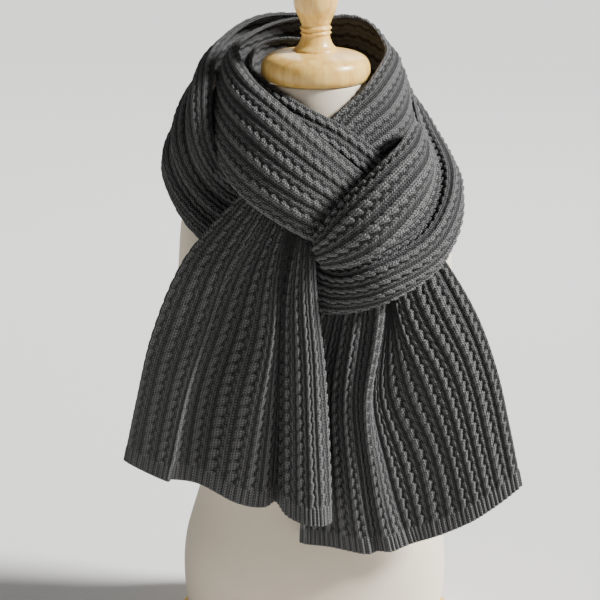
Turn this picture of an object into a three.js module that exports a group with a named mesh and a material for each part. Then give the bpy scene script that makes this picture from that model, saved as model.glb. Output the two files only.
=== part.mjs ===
// Knit scarf wound twice round the neck of a limbless table-top dress form, with both ends hanging in front.
// Millimetres, +Z up, the front toward -Y, +X to the right of someone who faces it, the base board's
// underside on z = 0. Each stretch of the scarf that shows is one closed wall: a smooth C-section or a
// folded sheet with knit ribs standing out of its outer side over a plain inside.
import * as THREE from 'three';

// Cloth
const WALL = 3; // plain cloth behind the ribs
const RIB_HEIGHT = 4; // how far a rib stands out of the plain cloth
const RIB_SHARE = 0.35; // the most it stands out as a share of its pitch, where the cloth is gathered
const LENGTH_STEPS = 240; // steps along a stretch while its surface is worked out
const WIDTH_STEPS = 160; // steps across it

// A wound stretch: one row per station along its centre line, columns
// x, y, z, azimuth the outer side faces (0 = front, 90 = right), its elevation, half width, crown, wrap angle.
// A groove has its place across at both ends, its width as a share and its depth.
const WOUND = {
  collar_left: {
    ribs: 6,
    rows: 20,
    stations: [
      [11.9, 90, 701, -180, 0, 34, 12, 100],
      [-22, 90.4, 701.2, -168, 2, 35, 13, 101],
      [-57, 75, 693, -147, 5, 36, 14, 103],
      [-93.6, 40, 674.7, -106, 12, 40, 16, 106],
      [-90.5, -26, 649, -62, 21, 44, 17, 104],
      [-53.8, -95, 615.8, -32, 30, 51, 17, 104],
      [-11.2, -128, 587.9, -14, 25, 50, 15, 98],
      [25.7, -133, 564.6, -4, 22, 46, 8, 94],
      [44.3, -130, 553.7, 0, 15, 42, 6, 92],
    ],
    grooves: [],
  },
  collar_under: {
    ribs: 4,
    rows: 15,
    stations: [
      [-22.3, 62, 695.1, -180, 0, 26, 8, 95],
      [-61.5, 50, 686.9, -140, 5, 26, 8, 95],
      [-77.4, -4, 667, -75, 18, 27.5, 8, 95],
      [-41.4, -66.2, 645.2, -35, 36, 30, 8, 95],
      [10.7, -99, 622.5, -14, 42, 32, 8, 96],
      [45.5, -109.5, 599.6, 0, 34, 32, 6, 94],
      [67.5, -107, 582.4, 5, 26, 30, 6, 92],
    ],
    grooves: [],
  },
  collar_right: {
    ribs: 8,
    rows: 16,
    stations: [
      [12.7, 90, 701, 180, 0, 34, 12, 100],
      [43, 89.3, 700.9, 162, 3, 36, 13, 101],
      [74, 55, 683, 116, 8, 39, 15, 104],
      [86.4, 22, 666.5, 92, 12, 42, 18, 106],
      [80.8, -37, 639.5, 52, 25, 46, 18, 106],
      [50.8, -74.5, 616, 25, 30, 46, 12, 98],
      [24.3, -86, 589, 8, 22, 44, 8, 92],
    ],
    grooves: [],
  },
  drape_left: {
    ribs: 9,
    rows: 18,
    stations: [
      [11.5, 119, 686.1, -180, 8, 42, 15, 98],
      [-28, 119.8, 694.4, -169, 10, 44, 16, 99],
      [-76, 107, 687, -146, 16, 46, 18, 101],
      [-130.2, 62, 649.4, -112, 25, 50, 22, 106],
      [-148.5, -8, 601.5, -74, 27, 45, 21, 104],
      [-124.2, -45.5, 551.6, -46, 28, 37, 15, 98],
      [-71.1, -82, 524.5, -18, 6, 44, 10, 95],
      [-30.4, -94, 496, -8, 0, 38, 8, 92],
    ],
    grooves: [
      [0.33, 0.38, 0.07, 9],
      [0.62, 0.6, 0.07, 8],
    ],
  },
  drape_right: {
    ribs: 6,
    rows: 20,
    stations: [
      [13.1, 119, 685.8, 180, 8, 42, 15, 98],
      [46, 118.2, 679, 168, 9, 38, 14, 98],
      [91, 94, 645, 138, 12, 34, 15, 100],
      [124.6, 48, 600.2, 98, 15, 30, 18, 106],
      [144.2, -34, 562.7, 62, 12, 26, 20, 108],
      [124.5, -92, 517.5, 32, 5, 30, 20, 106],
      [72.5, -124, 489.8, 8, -4, 33, 16, 102],
      [26.6, -112, 472.5, -4, -3, 34, 10, 96],
      [-5.4, -99, 478.6, -8, 0, 37, 8, 92],
      [-28.1, -94.2, 494.6, -8, 0, 38, 8, 92],
    ],
    grooves: [],
  },
  knot_fold: {
    ribs: 4,
    rows: 14,
    stations: [
      [111.9, -84, 627.9, 72, 20, 20, 8, 96],
      [105.6, -124, 612.4, 48, 25, 25, 16, 106],
      [88.2, -154, 592, 20, 25, 30, 20, 110],
      [57.1, -167, 559.8, -4, 12, 33, 20, 110],
      [29.7, -165, 536.2, -18, 4, 28, 16, 104],
      [7, -156, 523.6, -28, -2, 21, 8, 96],
    ],
    grooves: [],
  },
};

// A hanging end: one row per section down its length, columns
// left edge x, y, z, right edge x, y, z, sag of the middle; and one row per fold line that follows the
// knit, columns: the rib it runs along, its share of the width at five levels from the top to the hem,
// and how far it stands forward of the straight line at those levels.
const HANGING = {
  tail_left: {
    ribs: 17,
    rows: 12,
    sections: [
      [-52.8, -94.2, 595.4, 2.1, -107.2, 555.4, 0],
      [-93.5, -103.2, 559, -0.1, -119.6, 515.7, 0],
      [-145.7, -112, 497.8, 2.2, -122, 452.4, 0],
      [-181.5, -116, 414.4, 9.1, -126, 376.6, 2],
      [-201.1, -116, 337.4, 13.9, -126, 289.5, 4],
      [-218.1, -112, 261, 17.8, -124, 194.6, 6],
    ],
    folds: [
      [0, [-0.01, -0.01, -0.01, 0, 0], [-4, -5, -5, -6, -7]],
      [0.3, [0.012, 0.012, 0.01, 0.01, 0.012], [-0.8, -0.8, 0, 0, 0]],
      [1.6, [0.12, 0.14, 0.15, 0.12, 0.11], [2.5, 3.5, 7, 8, 9]],
      [3.2, [0.27, 0.31, 0.3, 0.239, 0.217], [3, 4, 10, 12, 12]],
      [4, [0.33, 0.36, 0.345, 0.283, 0.258], [0, -1, 0, 1, 3]],
      [5.8, [0.46, 0.48, 0.474, 0.4, 0.367], [-3, -4, -8, -9, -6]],
      [7.8, [0.61, 0.63, 0.665, 0.598, 0.541], [0, 2, 7, 12, 13]],
      [9.4, [0.68, 0.69, 0.712, 0.7, 0.67], [1, 1, 3, 6, 8]],
      [10.7, [0.73, 0.735, 0.745, 0.741, 0.731], [0, -2, -8, -14, -19]],
      [12.3, [0.78, 0.78, 0.784, 0.788, 0.79], [1, 1, 4, 9, 16]],
      [13.5, [0.83, 0.84, 0.86, 0.866, 0.865], [2, 6, 14, 24, 29]],
      [14.9, [0.91, 0.91, 0.93, 0.93, 0.94], [3, 8, 15, 23, 28]],
      [16.2, [0.965, 0.97, 0.985, 0.99, 0.99], [1.5, 3, 7, 11, 14]],
      [17, [1, 1, 0.995, 0.99, 0.985], [0, 0, -1, -1, 2]],
    ],
  },
  tail_right: {
    ribs: 17,
    rows: 12,
    sections: [
      [20.2, -97.1, 490.9, 121.7, -67.1, 515.1, 0],
      [4.7, -103, 429.8, 147.4, -78, 485.5, 2],
      [-10.9, -112, 362.3, 182.2, -94, 429.6, 14],
      [-14.3, -114, 294.6, 204.7, -100, 370, 24],
      [-16.5, -114, 227.4, 221.4, -102, 298.5, 32],
      [-17.7, -110, 157.3, 237.7, -100, 225.4, 36],
    ],
    folds: [
      [0, [0, 0, 0, 0, 0], [-2, -3, -2, -3, -4]],
      [0.5, [0.03, 0.03, 0.025, 0.025, 0.025], [-1, -1, 0, 0, 0]],
      [2.4, [0.18, 0.14, 0.11, 0.12, 0.14], [-1, -3, -4, -4, -4]],
      [4.6, [0.36, 0.295, 0.238, 0.26, 0.297], [2, 5, 6, 6, 6]],
      [5.5, [0.45, 0.365, 0.29, 0.314, 0.35], [1, 1, 1, 1, 2]],
      [6.5, [0.53, 0.46, 0.345, 0.362, 0.41], [3, 12, 16, 12, 9]],
      [8.2, [0.57, 0.5, 0.4, 0.455, 0.52], [-1, -4, -5, -1, 0]],
      [10, [0.6, 0.525, 0.462, 0.565, 0.604], [-3, -6, -7, -1, 1]],
      [11, [0.63, 0.545, 0.55, 0.645, 0.676], [-3, -5, -3, 2, 3]],
      [12, [0.66, 0.57, 0.635, 0.712, 0.742], [-2, -3, 1, 4, 5]],
      [13, [0.71, 0.625, 0.72, 0.77, 0.8], [0, 0, 4, 6, 6]],
      [15, [0.85, 0.815, 0.863, 0.885, 0.9], [2, 4, 5, 4, 3]],
      [16.5, [0.97, 0.97, 0.97, 0.98, 0.98], [-2.2, -1.5, 0, 0, -1]],
      [17, [1, 1, 1, 1, 1], [-5, -5, -4, -4, -5]],
    ],
  },
};

// Dress form: one row per level, columns z, half width, front y, back y, squareness of the section.
const FORM = [
  [16.3, 150, -86, 104, 2.3],
  [60, 158, -90, 110, 2.3],
  [120, 156, -88, 108, 2.3],
  [210, 134, -76, 92, 2.3],
  [290, 144, -84, 94, 2.3],
  [370, 156, -93, 96, 2.3],
  [430, 160, -92, 94, 2.3],
  [480, 158, -82, 90, 2.4],
  [520, 154, -72, 86, 2.5],
  [546, 144, -65, 80, 2.5],
  [572, 122, -61, 74, 2.4],
  [592, 100, -59, 69, 2.2],
  [610, 82, -58, 65, 2.1],
  [630, 69, -58, 62, 2],
  [652, 61, -58, 59, 2],
  [680, 57, -57, 57, 2],
];
const FORM_ROWS = 26;
const FORM_SIDES = 32;

// Turned wooden cap and finial: radius and z, from the neck seam up.
const CAP = [
  [55, 680.3],
  [59, 681.5],
  [61.5, 686],
  [62, 693],
  [60.5, 700.5],
  [56.5, 706],
  [49, 710],
  [40, 712],
  [30, 713],
  [25.3, 713.6],
  [24, 716],
  [19.5, 721],
  [16.6, 728],
  [16, 732],
  [17.7, 734],
  [16, 736.5],
  [18, 739.5],
  [15.8, 742.5],
  [17.2, 746],
  [18.6, 750],
  [22.5, 758],
  [25, 767],
  [25, 778],
  [20, 788],
  [11, 795.5],
];
const CAP_TOP = 798;
const CAP_SIDES = 28;

// Base board: inset from the board's outline and z, then the outline itself.
const BOARD = [
  [3, 0],
  [0, 3],
  [0, 12],
  [4, 16],
];
const BOARD_HALF_WIDTH = 168;
const BOARD_FRONT = -106;
const BOARD_BACK = 126;
const BOARD_POWER = 2.4;
const BOARD_SIDES = 36;

const CLOTH = { color: 0x3d4044, roughness: 0.95, metalness: 0 };
const FORM_COVER = { color: 0xe9e5dc, roughness: 0.85, metalness: 0 };
const CAP_WOOD = { color: 0xc99a5b, roughness: 0.4, metalness: 0 };
const BOARD_WOOD = { color: 0xb98a52, roughness: 0.5, metalness: 0 };

const add = (a, b, k = 1) => a.map((v, i) => v + b[i] * k);
const sub = (a, b) => a.map((v, i) => v - b[i]);
const mix = (a, b, f) => a.map((v, i) => v + (b[i] - v) * f);
const dot = (a, b) => a.reduce((s, v, i) => s + v * b[i], 0);
const unit = (a) => a.map((v) => v / Math.max(Math.hypot(...a), 1e-9));
const cross = (a, b) => [a[1] * b[2] - a[2] * b[1], a[2] * b[0] - a[0] * b[2], a[0] * b[1] - a[1] * b[0]];

// A smooth curve through the rows (Catmull-Rom), at t from 0 to 1.
function curve(rows, t) {
  const last = rows.length - 1;
  const x = Math.min(Math.max(t, 0), 1) * last;
  const i = Math.min(Math.floor(x), last - 1);
  const f = x - i;
  const b = rows[i];
  const c = rows[i + 1];
  const a = i > 0 ? rows[i - 1] : b.map((v, k) => 2 * v - c[k]);
  const d = i + 2 <= last ? rows[i + 2] : c.map((v, k) => 2 * v - b[k]);
  return b.map((v, k) => {
    const one = (c[k] - a[k]) * f;
    const two = (2 * a[k] - 5 * v + 4 * c[k] - d[k]) * f * f;
    const three = (3 * v - a[k] - 3 * c[k] + d[k]) * f * f * f;
    return 0.5 * (2 * v + one + two + three);
  });
}

// The same line of points with even steps along it.
function evenly(points, count) {
  const along = [0];
  for (let i = 1; i < points.length; i += 1) {
    along.push(along[i - 1] + Math.hypot(...sub(points[i], points[i - 1]).slice(0, 3)));
  }
  const total = along[along.length - 1];
  const out = [];
  let k = 0;
  for (let i = 0; i < count; i += 1) {
    const want = (total * i) / (count - 1);
    while (k < points.length - 2 && along[k + 1] < want) k += 1;
    const step = Math.max(along[k + 1] - along[k], 1e-9);
    out.push(mix(points[k], points[k + 1], Math.min((want - along[k]) / step, 1)));
  }
  return out;
}

// Unit normals of a grid of points, on its outer side.
function normalsOf(grid) {
  const rows = grid.length;
  const columns = grid[0].length;
  return grid.map((row, i) => row.map((_, j) => {
    const down = sub(grid[Math.min(i + 1, rows - 1)][j], grid[Math.max(i - 1, 0)][j]);
    const over = sub(row[Math.min(j + 1, columns - 1)], row[Math.max(j - 1, 0)]);
    return unit(cross(over, down));
  }));
}

// The plain surface of a wound stretch: at each station an arc of the given half width and crown.
function woundSurface({ stations, grooves }) {
  const rough = [];
  for (let i = 0; i <= LENGTH_STEPS; i += 1) rough.push(curve(stations, i / LENGTH_STEPS));
  const line = evenly(rough, LENGTH_STEPS + 1);
  const grid = line.map((s, i) => {
    let ends = [line[i - 1], line[i + 1]];
    if (i === 0) ends = stations.slice(0, 2);
    if (i === LENGTH_STEPS) ends = stations.slice(-2);
    const along = unit(sub(ends[1], ends[0]).slice(0, 3));
    const az = THREE.MathUtils.degToRad(s[3]);
    const el = THREE.MathUtils.degToRad(s[4]);
    const raw = [Math.sin(az) * Math.cos(el), -Math.cos(az) * Math.cos(el), Math.sin(el)];
    const face = unit(add(raw, along, -dot(raw, along)));
    const across = cross(along, face);
    const wrap = THREE.MathUtils.degToRad(s[7]);
    const arc = [];
    for (let j = 0; j <= WIDTH_STEPS; j += 1) {
      const phi = ((2 * j) / WIDTH_STEPS - 1) * wrap;
      const side = add(s.slice(0, 3), across, s[5] * Math.sin(phi));
      arc.push(add(side, face, s[6] * Math.cos(phi)));
    }
    return evenly(arc, WIDTH_STEPS + 1);
  });
  if (!grooves.length) return grid;
  const normals = normalsOf(grid);
  return grid.map((row, i) => row.map((p, j) => {
    const depth = grooves.reduce((sum, [start, end, width, deep]) => {
      const from = (j / WIDTH_STEPS - start - ((end - start) * i) / LENGTH_STEPS) / width;
      return sum + deep * Math.exp(-from * from);
    }, 0);
    return add(p, normals[i][j], -depth);
  }));
}

// The plain surface of a hanging end: fold lines run down it, each along its own rib, and each section
// curves through them from right to left, so that its outer side is the front.
function hangingSurface({ ribs, sections, folds }) {
  const places = [];
  for (let j = 0; j <= WIDTH_STEPS; j += 1) {
    const rib = ribs * (1 - j / WIDTH_STEPS);
    let k = 0;
    while (k < folds.length - 2 && folds[k + 1][0] < rib) k += 1;
    places.push((k + (rib - folds[k][0]) / (folds[k + 1][0] - folds[k][0])) / (folds.length - 1));
  }
  const levels = (column) => folds[0][column].map((_, k) => folds.map((fold) => fold[column][k]));
  const shares = levels(1);
  const prouds = levels(2);
  const grid = [];
  for (let i = 0; i <= LENGTH_STEPS; i += 1) {
    const t = i / LENGTH_STEPS;
    const s = curve(sections, t);
    const proud = curve(prouds, t);
    const lines = curve(shares, t).map((share, k) => {
      const p = mix(s.slice(0, 3), s.slice(3, 6), share);
      p[1] -= proud[k];
      p[2] -= s[6] * 4 * share * (1 - share);
      return p;
    });
    grid.push(places.map((place) => curve(lines, place)));
  }
  return grid;
}

// A point of a fine grid at shares of its length and width.
function pick(grid, u, v) {
  const x = u * LENGTH_STEPS;
  const y = v * WIDTH_STEPS;
  const i = Math.min(Math.floor(x), LENGTH_STEPS - 1);
  const j = Math.min(Math.floor(y), WIDTH_STEPS - 1);
  const near = mix(grid[i][j], grid[i][j + 1], y - j);
  const far = mix(grid[i + 1][j], grid[i + 1][j + 1], y - j);
  return mix(near, far, x - i);
}

// A closed mesh from points and triangles, turned to face out.
function solid(name, points, faces, material) {
  const volume = faces.reduce((sum, [a, b, c]) => sum + dot(points[a], cross(points[b], points[c])), 0);
  const turned = volume < 0 ? faces.map(([a, b, c]) => [a, c, b]) : faces;
  const geometry = new THREE.BufferGeometry();
  geometry.setAttribute('position', new THREE.Float32BufferAttribute(points.flat(), 3));
  geometry.setIndex(turned.flat());
  geometry.computeVertexNormals();
  const mesh = new THREE.Mesh(geometry, new THREE.MeshStandardMaterial(material));
  mesh.name = name;
  return mesh;
}

// The cloth wall on a plain surface: ribs outside, plain inside, closed round its four edges.
function cloth(name, grid, ribs, rows) {
  const columns = 2 * ribs + 1;
  const half = 1 / (columns - 1);
  const normals = normalsOf(grid);
  const outer = [];
  const inner = [];
  for (let i = 0; i < rows; i += 1) {
    for (let j = 0; j < columns; j += 1) {
      const u = i / (rows - 1);
      const v = j / (columns - 1);
      const p = pick(grid, u, v);
      const n = unit(pick(normals, u, v));
      const valley = pick(grid, u, Math.max(v - half, 0));
      const nextValley = pick(grid, u, Math.min(v + half, 1));
      const height = Math.min(RIB_HEIGHT, RIB_SHARE * Math.hypot(...sub(nextValley, valley)));
      outer.push(add(p, n, j % 2 === 1 ? height : 0));
      inner.push(add(p, n, -WALL));
    }
  }
  const at = (i, j) => i * columns + j;
  const inside = outer.length;
  const faces = [];
  const quad = (a, b, c, d) => faces.push([a, b, c], [a, c, d]);
  for (let i = 0; i < rows - 1; i += 1) {
    for (let j = 0; j < columns - 1; j += 1) {
      const a = at(i, j);
      const b = at(i, j + 1);
      const c = at(i + 1, j + 1);
      const d = at(i + 1, j);
      quad(a, b, c, d);
      quad(a + inside, d + inside, c + inside, b + inside);
    }
    const left = at(i, 0);
    const leftNext = at(i + 1, 0);
    const right = at(i, columns - 1);
    const rightNext = at(i + 1, columns - 1);
    quad(left, leftNext, leftNext + inside, left + inside);
    quad(right, right + inside, rightNext + inside, rightNext);
  }
  for (let j = 0; j < columns - 1; j += 1) {
    const top = at(0, j);
    const low = at(rows - 1, j);
    quad(top, top + inside, top + 1 + inside, top + 1);
    quad(low, low + 1, low + 1 + inside, low + inside);
  }
  return solid(name, outer.concat(inner), faces, CLOTH);
}

// A closed body from rings of points, with a middle point at each end.
function rings(name, list, bottom, top, material) {
  const sides = list[0].length;
  const points = list.flat().concat([bottom, top]);
  const faces = [];
  for (let i = 0; i < list.length - 1; i += 1) {
    for (let j = 0; j < sides; j += 1) {
      const k = (j + 1) % sides;
      const low = i * sides;
      const high = low + sides;
      faces.push([low + j, low + k, high + k], [low + j, high + k, high + j]);
    }
  }
  const floor = list.length * sides;
  const last = (list.length - 1) * sides;
  for (let j = 0; j < sides; j += 1) {
    const k = (j + 1) % sides;
    faces.push([floor, k, j], [floor + 1, last + j, last + k]);
  }
  return solid(name, points, faces, material);
}

// One ring of a superellipse.
function ovalRing(z, halfWidth, front, back, power, sides) {
  const out = [];
  for (let j = 0; j < sides; j += 1) {
    const a = (2 * Math.PI * j) / sides;
    const c = Math.cos(a);
    const s = Math.sin(a);
    const r = (Math.abs(c) ** power + Math.abs(s) ** power) ** (-1 / power);
    out.push([halfWidth * r * c, (front + back) / 2 + ((back - front) / 2) * r * s, z]);
  }
  return out;
}

function dressForm() {
  const list = [];
  for (let i = 0; i < FORM_ROWS; i += 1) {
    const [z, halfWidth, front, back, power] = curve(FORM, i / (FORM_ROWS - 1));
    list.push(ovalRing(z, halfWidth, front, back, power, FORM_SIDES));
  }
  const [low] = FORM;
  const high = FORM[FORM.length - 1];
  const bottom = [0, (low[2] + low[3]) / 2, low[0]];
  return rings('form_body', list, bottom, [0, (high[2] + high[3]) / 2, high[0]], FORM_COVER);
}

function neckCap() {
  const list = CAP.map(([r, z]) => ovalRing(z, r, -r, r, 2, CAP_SIDES));
  return rings('neck_cap', list, [0, 0, CAP[0][1]], [0, 0, CAP_TOP], CAP_WOOD);
}

function baseBoard() {
  const list = BOARD.map(([inset, z]) => ovalRing(
    z,
    BOARD_HALF_WIDTH - inset,
    BOARD_FRONT + inset,
    BOARD_BACK - inset,
    BOARD_POWER,
    BOARD_SIDES,
  ));
  const middle = (BOARD_FRONT + BOARD_BACK) / 2;
  const top = BOARD[BOARD.length - 1][1];
  return rings('base_board', list, [0, middle, 0], [0, middle, top], BOARD_WOOD);
}

const scarf = new THREE.Group();
scarf.name = 'knit_scarf_on_form';
Object.entries(WOUND).forEach(([name, stretch]) => {
  scarf.add(cloth(name, woundSurface(stretch), stretch.ribs, stretch.rows));
});
Object.entries(HANGING).forEach(([name, stretch]) => {
  scarf.add(cloth(name, hangingSurface(stretch), stretch.ribs, stretch.rows));
});
scarf.add(dressForm());
scarf.add(neckCap());
scarf.add(baseBoard());

export default scarf;
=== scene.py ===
"""Knit scarf wound twice round the neck of a limbless table-top dress form, with both ends hanging in front.

Run as a script in Blender 4.5. Metres, +Z up, the front toward -Y. The tables are in millimetres,
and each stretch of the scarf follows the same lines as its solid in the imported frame.
"""

import math

import bpy
import numpy as np
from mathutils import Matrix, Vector


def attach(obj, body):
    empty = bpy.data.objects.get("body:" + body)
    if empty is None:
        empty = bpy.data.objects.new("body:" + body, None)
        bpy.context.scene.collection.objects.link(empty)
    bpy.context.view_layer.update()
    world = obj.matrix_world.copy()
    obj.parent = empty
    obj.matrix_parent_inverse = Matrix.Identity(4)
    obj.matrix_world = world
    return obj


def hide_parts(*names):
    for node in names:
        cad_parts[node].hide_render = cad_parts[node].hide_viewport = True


bl_info = {
    "name": "Knit scarf on a dress form",
    "version": (1, 0, 0),
    "blender": (4, 5, 0),
    "location": "3D View > Sidebar > Scarf",
    "description": "Builds a chunky rib-knit scarf wound round a dress form, around its packed frame",
    "category": "Object",
}

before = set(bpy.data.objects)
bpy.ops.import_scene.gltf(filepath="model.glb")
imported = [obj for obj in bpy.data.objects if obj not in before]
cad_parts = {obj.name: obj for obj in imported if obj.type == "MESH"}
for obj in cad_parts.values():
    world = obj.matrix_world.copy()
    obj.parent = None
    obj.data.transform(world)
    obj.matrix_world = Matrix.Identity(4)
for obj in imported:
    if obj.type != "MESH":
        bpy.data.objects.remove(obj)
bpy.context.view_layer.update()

MM = 0.001
COLUMNS_PER_RIB = 14  # fine enough for a rib's two columns of stitches
WALES_PER_RIB = 4  # stitch columns across a rib: a purl, two knit and a crossed one
INNER_EVERY_WOUND = 2  # columns of the outer side for each column of the inside
INNER_EVERY_HANGING = 7
MOST_OF_PITCH = 0.35  # a rib stands out at most this share of the way to the next rib
SIDE_RIM, END_RIM = 2.2, 1.8  # mm over which the cloth's sides and ends are rounded off
RIM_LEAST = 0.03  # keeps the two sides of the cloth apart at a rim
HEM_BLEND = 2.5  # mm over which the ribs turn into the hem's fine ribbing, either way
NO_HEM = -10.0  # mm: past the end of the cloth
HOLLOW = 1.6  # mm that the inside sinks between its ribs
FLAT_PAINTED_SHADE = 0.45  # painted shade level shown all over a flat, fuzzy edge, in place of the relief's
CLOSED_PITCH, OPEN_PITCH = 3, 9  # mm between ribs: bunched, so that only painted dark shade shows, and open
LINE_POINTS, ARC_POINTS = 481, 161  # along a centre line and across it, before they are spaced evenly
LENGTH_POINTS = 200  # along a line, to measure it
FORM_RINGS, FORM_SIDES = 140, 128
CAP_RINGS, CAP_SIDES = 8, 96  # rings for each step of the cap's profile
BOARD_SIDES = 128
WOOL = "Knitted charcoal wool"

# The stretches that are wound round the neck and through the knot. Each has the share of their full height
# that its ribs have at its right and at its left edge, the nodes that it lies on, its number of ribs, and one row
# per station along its centre line, columns
# x, y, z, azimuth the outer side faces (0 = front, 90 = right), its elevation, half width, crown, wrap angle.
# A groove has its place across at both ends, its width as a share and its depth.
WOUND = {
    "collar_left": {
        "fullness": [0.6, 0.6],
        "rests_on": ["collar_under", "drape_left"],
        "ribs": 6,
        "stations": [
            [12.3, 90, 701, -180, 0, 34, 12, 100],
            [-22, 90.4, 701.2, -168, 2, 35, 13, 101],
            [-57, 75, 693, -147, 5, 36, 14, 103],
            [-93.6, 40, 674.7, -106, 12, 40, 16, 106],
            [-90.5, -26, 649, -62, 21, 44, 17, 104],
            [-53.8, -95, 615.8, -32, 30, 51, 17, 104],
            [-11.2, -128, 587.9, -14, 25, 50, 15, 98],
            [25.7, -133, 564.6, -4, 22, 46, 8, 94],
            [44.3, -130, 553.7, 0, 15, 42, 6, 92],
        ],
        "grooves": [],
    },
    "collar_under": {
        "fullness": [0.8, 0.8],
        "rests_on": ["neck_cap", "form_body"],
        "ribs": 4,
        "stations": [
            [30, 60, 677, -207, 0, 22, 8, 95],
            [4, 67, 684, -184, 0, 24, 8, 95],
            [-27, 62, 692, -165, 2, 26, 8, 95],
            [-61.5, 50, 686.9, -140, 5, 26, 8, 95],
            [-77.4, -4, 667, -75, 18, 27.5, 8, 95],
            [-41.4, -66.2, 645.2, -35, 36, 30, 8, 95],
            [10.7, -99, 622.5, -14, 42, 32, 8, 96],
            [45.5, -109.5, 599.6, 0, 34, 32, 6, 94],
            [67.5, -107, 582.4, 5, 26, 30, 6, 92],
        ],
        "grooves": [],
    },
    "collar_right": {
        "fullness": [0.9, 0.9],
        "rests_on": ["collar_under", "collar_left"],
        "ribs": 6,
        "stations": [
            [12.3, 90, 701, 180, 0, 34, 12, 100],
            [43, 89.3, 700.9, 162, 3, 36, 13, 101],
            [74, 55, 683, 116, 8, 39, 15, 104],
            [86.4, 22, 666.5, 92, 12, 42, 18, 106],
            [80.8, -37, 639.5, 52, 25, 46, 18, 106],
            [50.8, -74.5, 616, 25, 30, 46, 12, 98],
            [24.3, -86, 589, 8, 22, 44, 8, 92],
        ],
        "grooves": [],
    },
    "drape_left": {
        "fullness": [0.5, 0.5],
        "rests_on": ["form_body", "collar_left"],
        "ribs": 9,
        "stations": [
            [12.3, 119, 686, -180, 8, 42, 15, 98],
            [-28, 119.8, 694.4, -169, 10, 44, 16, 99],
            [-74, 106, 688, -146, 16, 48, 18, 101],
            [-126.5, 61, 652.5, -112, 25, 55, 22, 106],
            [-144.5, -8, 605, -74, 27, 51, 21, 104],
            [-122.5, -45, 553.5, -46, 28, 38, 15, 98],
            [-71.1, -82, 524.5, -18, 6, 44, 10, 95],
            [-30.4, -94, 496, -8, 0, 38, 8, 92],
        ],
        "grooves": [[0.33, 0.38, 0.07, 9], [0.62, 0.6, 0.07, 8]],
    },
    "drape_right": {
        "fullness": [1, 1],
        "rests_on": ["form_body", "drape_left"],
        "ribs": 6,
        "stations": [
            [12.3, 119, 686, 180, 8, 42, 15, 98],
            [46, 118.2, 679, 168, 9, 38, 14, 98],
            [91, 94, 645, 138, 12, 34, 15, 100],
            [124.6, 48, 600.2, 98, 15, 30, 18, 106],
            [144.2, -34, 562.7, 62, 12, 26, 20, 108],
            [124.5, -92, 517.5, 32, 5, 30, 20, 106],
            [72.5, -124, 489.8, 8, -4, 33, 16, 102],
            [26.6, -112, 472.5, -4, -3, 34, 10, 96],
            [-5.4, -99, 478.6, -8, 0, 37, 8, 92],
            [-28.1, -94.2, 494.6, -8, 0, 38, 8, 92],
        ],
        "grooves": [[0.84, 0.78, 0.11, 14]],
    },
    "knot_fold": {
        "fullness": [1, 1],
        "rests_on": ["collar_left"],
        "ribs": 4,
        "stations": [
            [109, -54, 608, 98, 10, 13, 5, 94],
            [111.9, -84, 627.9, 72, 20, 20, 8, 96],
            [105.6, -124, 612.4, 48, 25, 25, 16, 106],
            [88.2, -154, 592, 20, 25, 30, 20, 110],
            [57.1, -167, 559.8, -4, 12, 33, 20, 110],
            [29.7, -165, 536.2, -18, 4, 28, 16, 104],
            [9, -158, 522.6, -34, -4, 19, 9, 95],
            [7, -129, 514, -84, -14, 15, 5, 94],
        ],
        "grooves": [],
    },
}

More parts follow.
